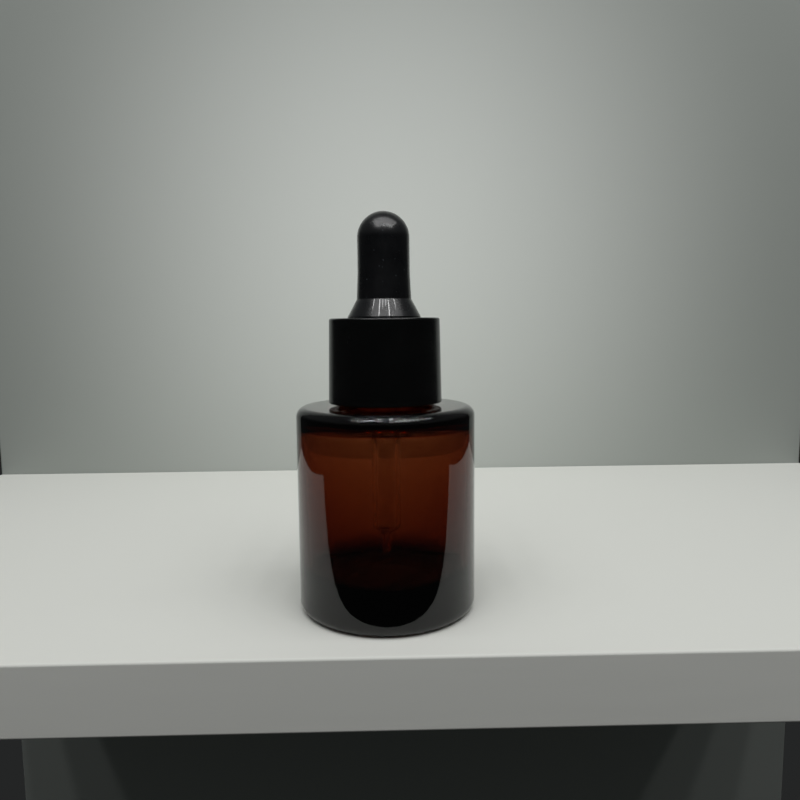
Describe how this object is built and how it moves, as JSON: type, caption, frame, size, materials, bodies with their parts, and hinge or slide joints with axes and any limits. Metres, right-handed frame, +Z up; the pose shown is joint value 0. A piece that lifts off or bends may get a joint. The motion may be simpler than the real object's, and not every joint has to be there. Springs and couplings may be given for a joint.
{
  "type": "dropper bottle",
  "caption": "Squat round glass bottle with a flat shoulder, a screw collar, a rubber bulb and a glass pipette that lifts out.",
  "frame": {"origin": "centre of the ring that the bottle stands on", "axes": "+Z up, along the axis of the bottle, from its base to the top of the bulb; every solid but the ribs of the inner cap is turned about it"},
  "size_m": [0.04, 0.04, 0.0888],
  "materials": {
    "amber_glass": "moulded amber glass, glossy",
    "clear_glass": "drawn clear glass, glossy",
    "collar_plastic": "moulded black, semi-gloss",
    "liner_polypropylene": "moulded black, matt",
    "gasket_polyethylene": "natural white, matt",
    "bulb_rubber": "moulded black, satin"
  },
  "bodies": {
    "bottle": {"bottle": "amber_glass"},
    "dropper": {"pipette": "clear_glass", "gasket": "gasket_polyethylene"},
    "closure": {"inner_cap": "liner_polypropylene", "collar_shell": "collar_plastic"},
    "bulb": {"bulb": "bulb_rubber"}
  },
  "joints": [
    {"name": "dropper_lift", "type": "slide", "parent": "bottle", "child": "dropper", "axis": [0, 0, 1], "range_m": [0, 0.06]},
    {"name": "collar_turn", "type": "hinge", "parent": "dropper", "child": "closure", "pos_m": [0, 0, 0.0561], "axis": [0, 0, 1], "range_deg": [0, 540]},
    {"name": "bulb_press", "type": "slide", "parent": "dropper", "child": "bulb", "axis": [0, 0, -1], "range_m": [0, 0.006], "stiffness_N_per_m": 1000, "deforming": ["bulb"]}
  ]
}
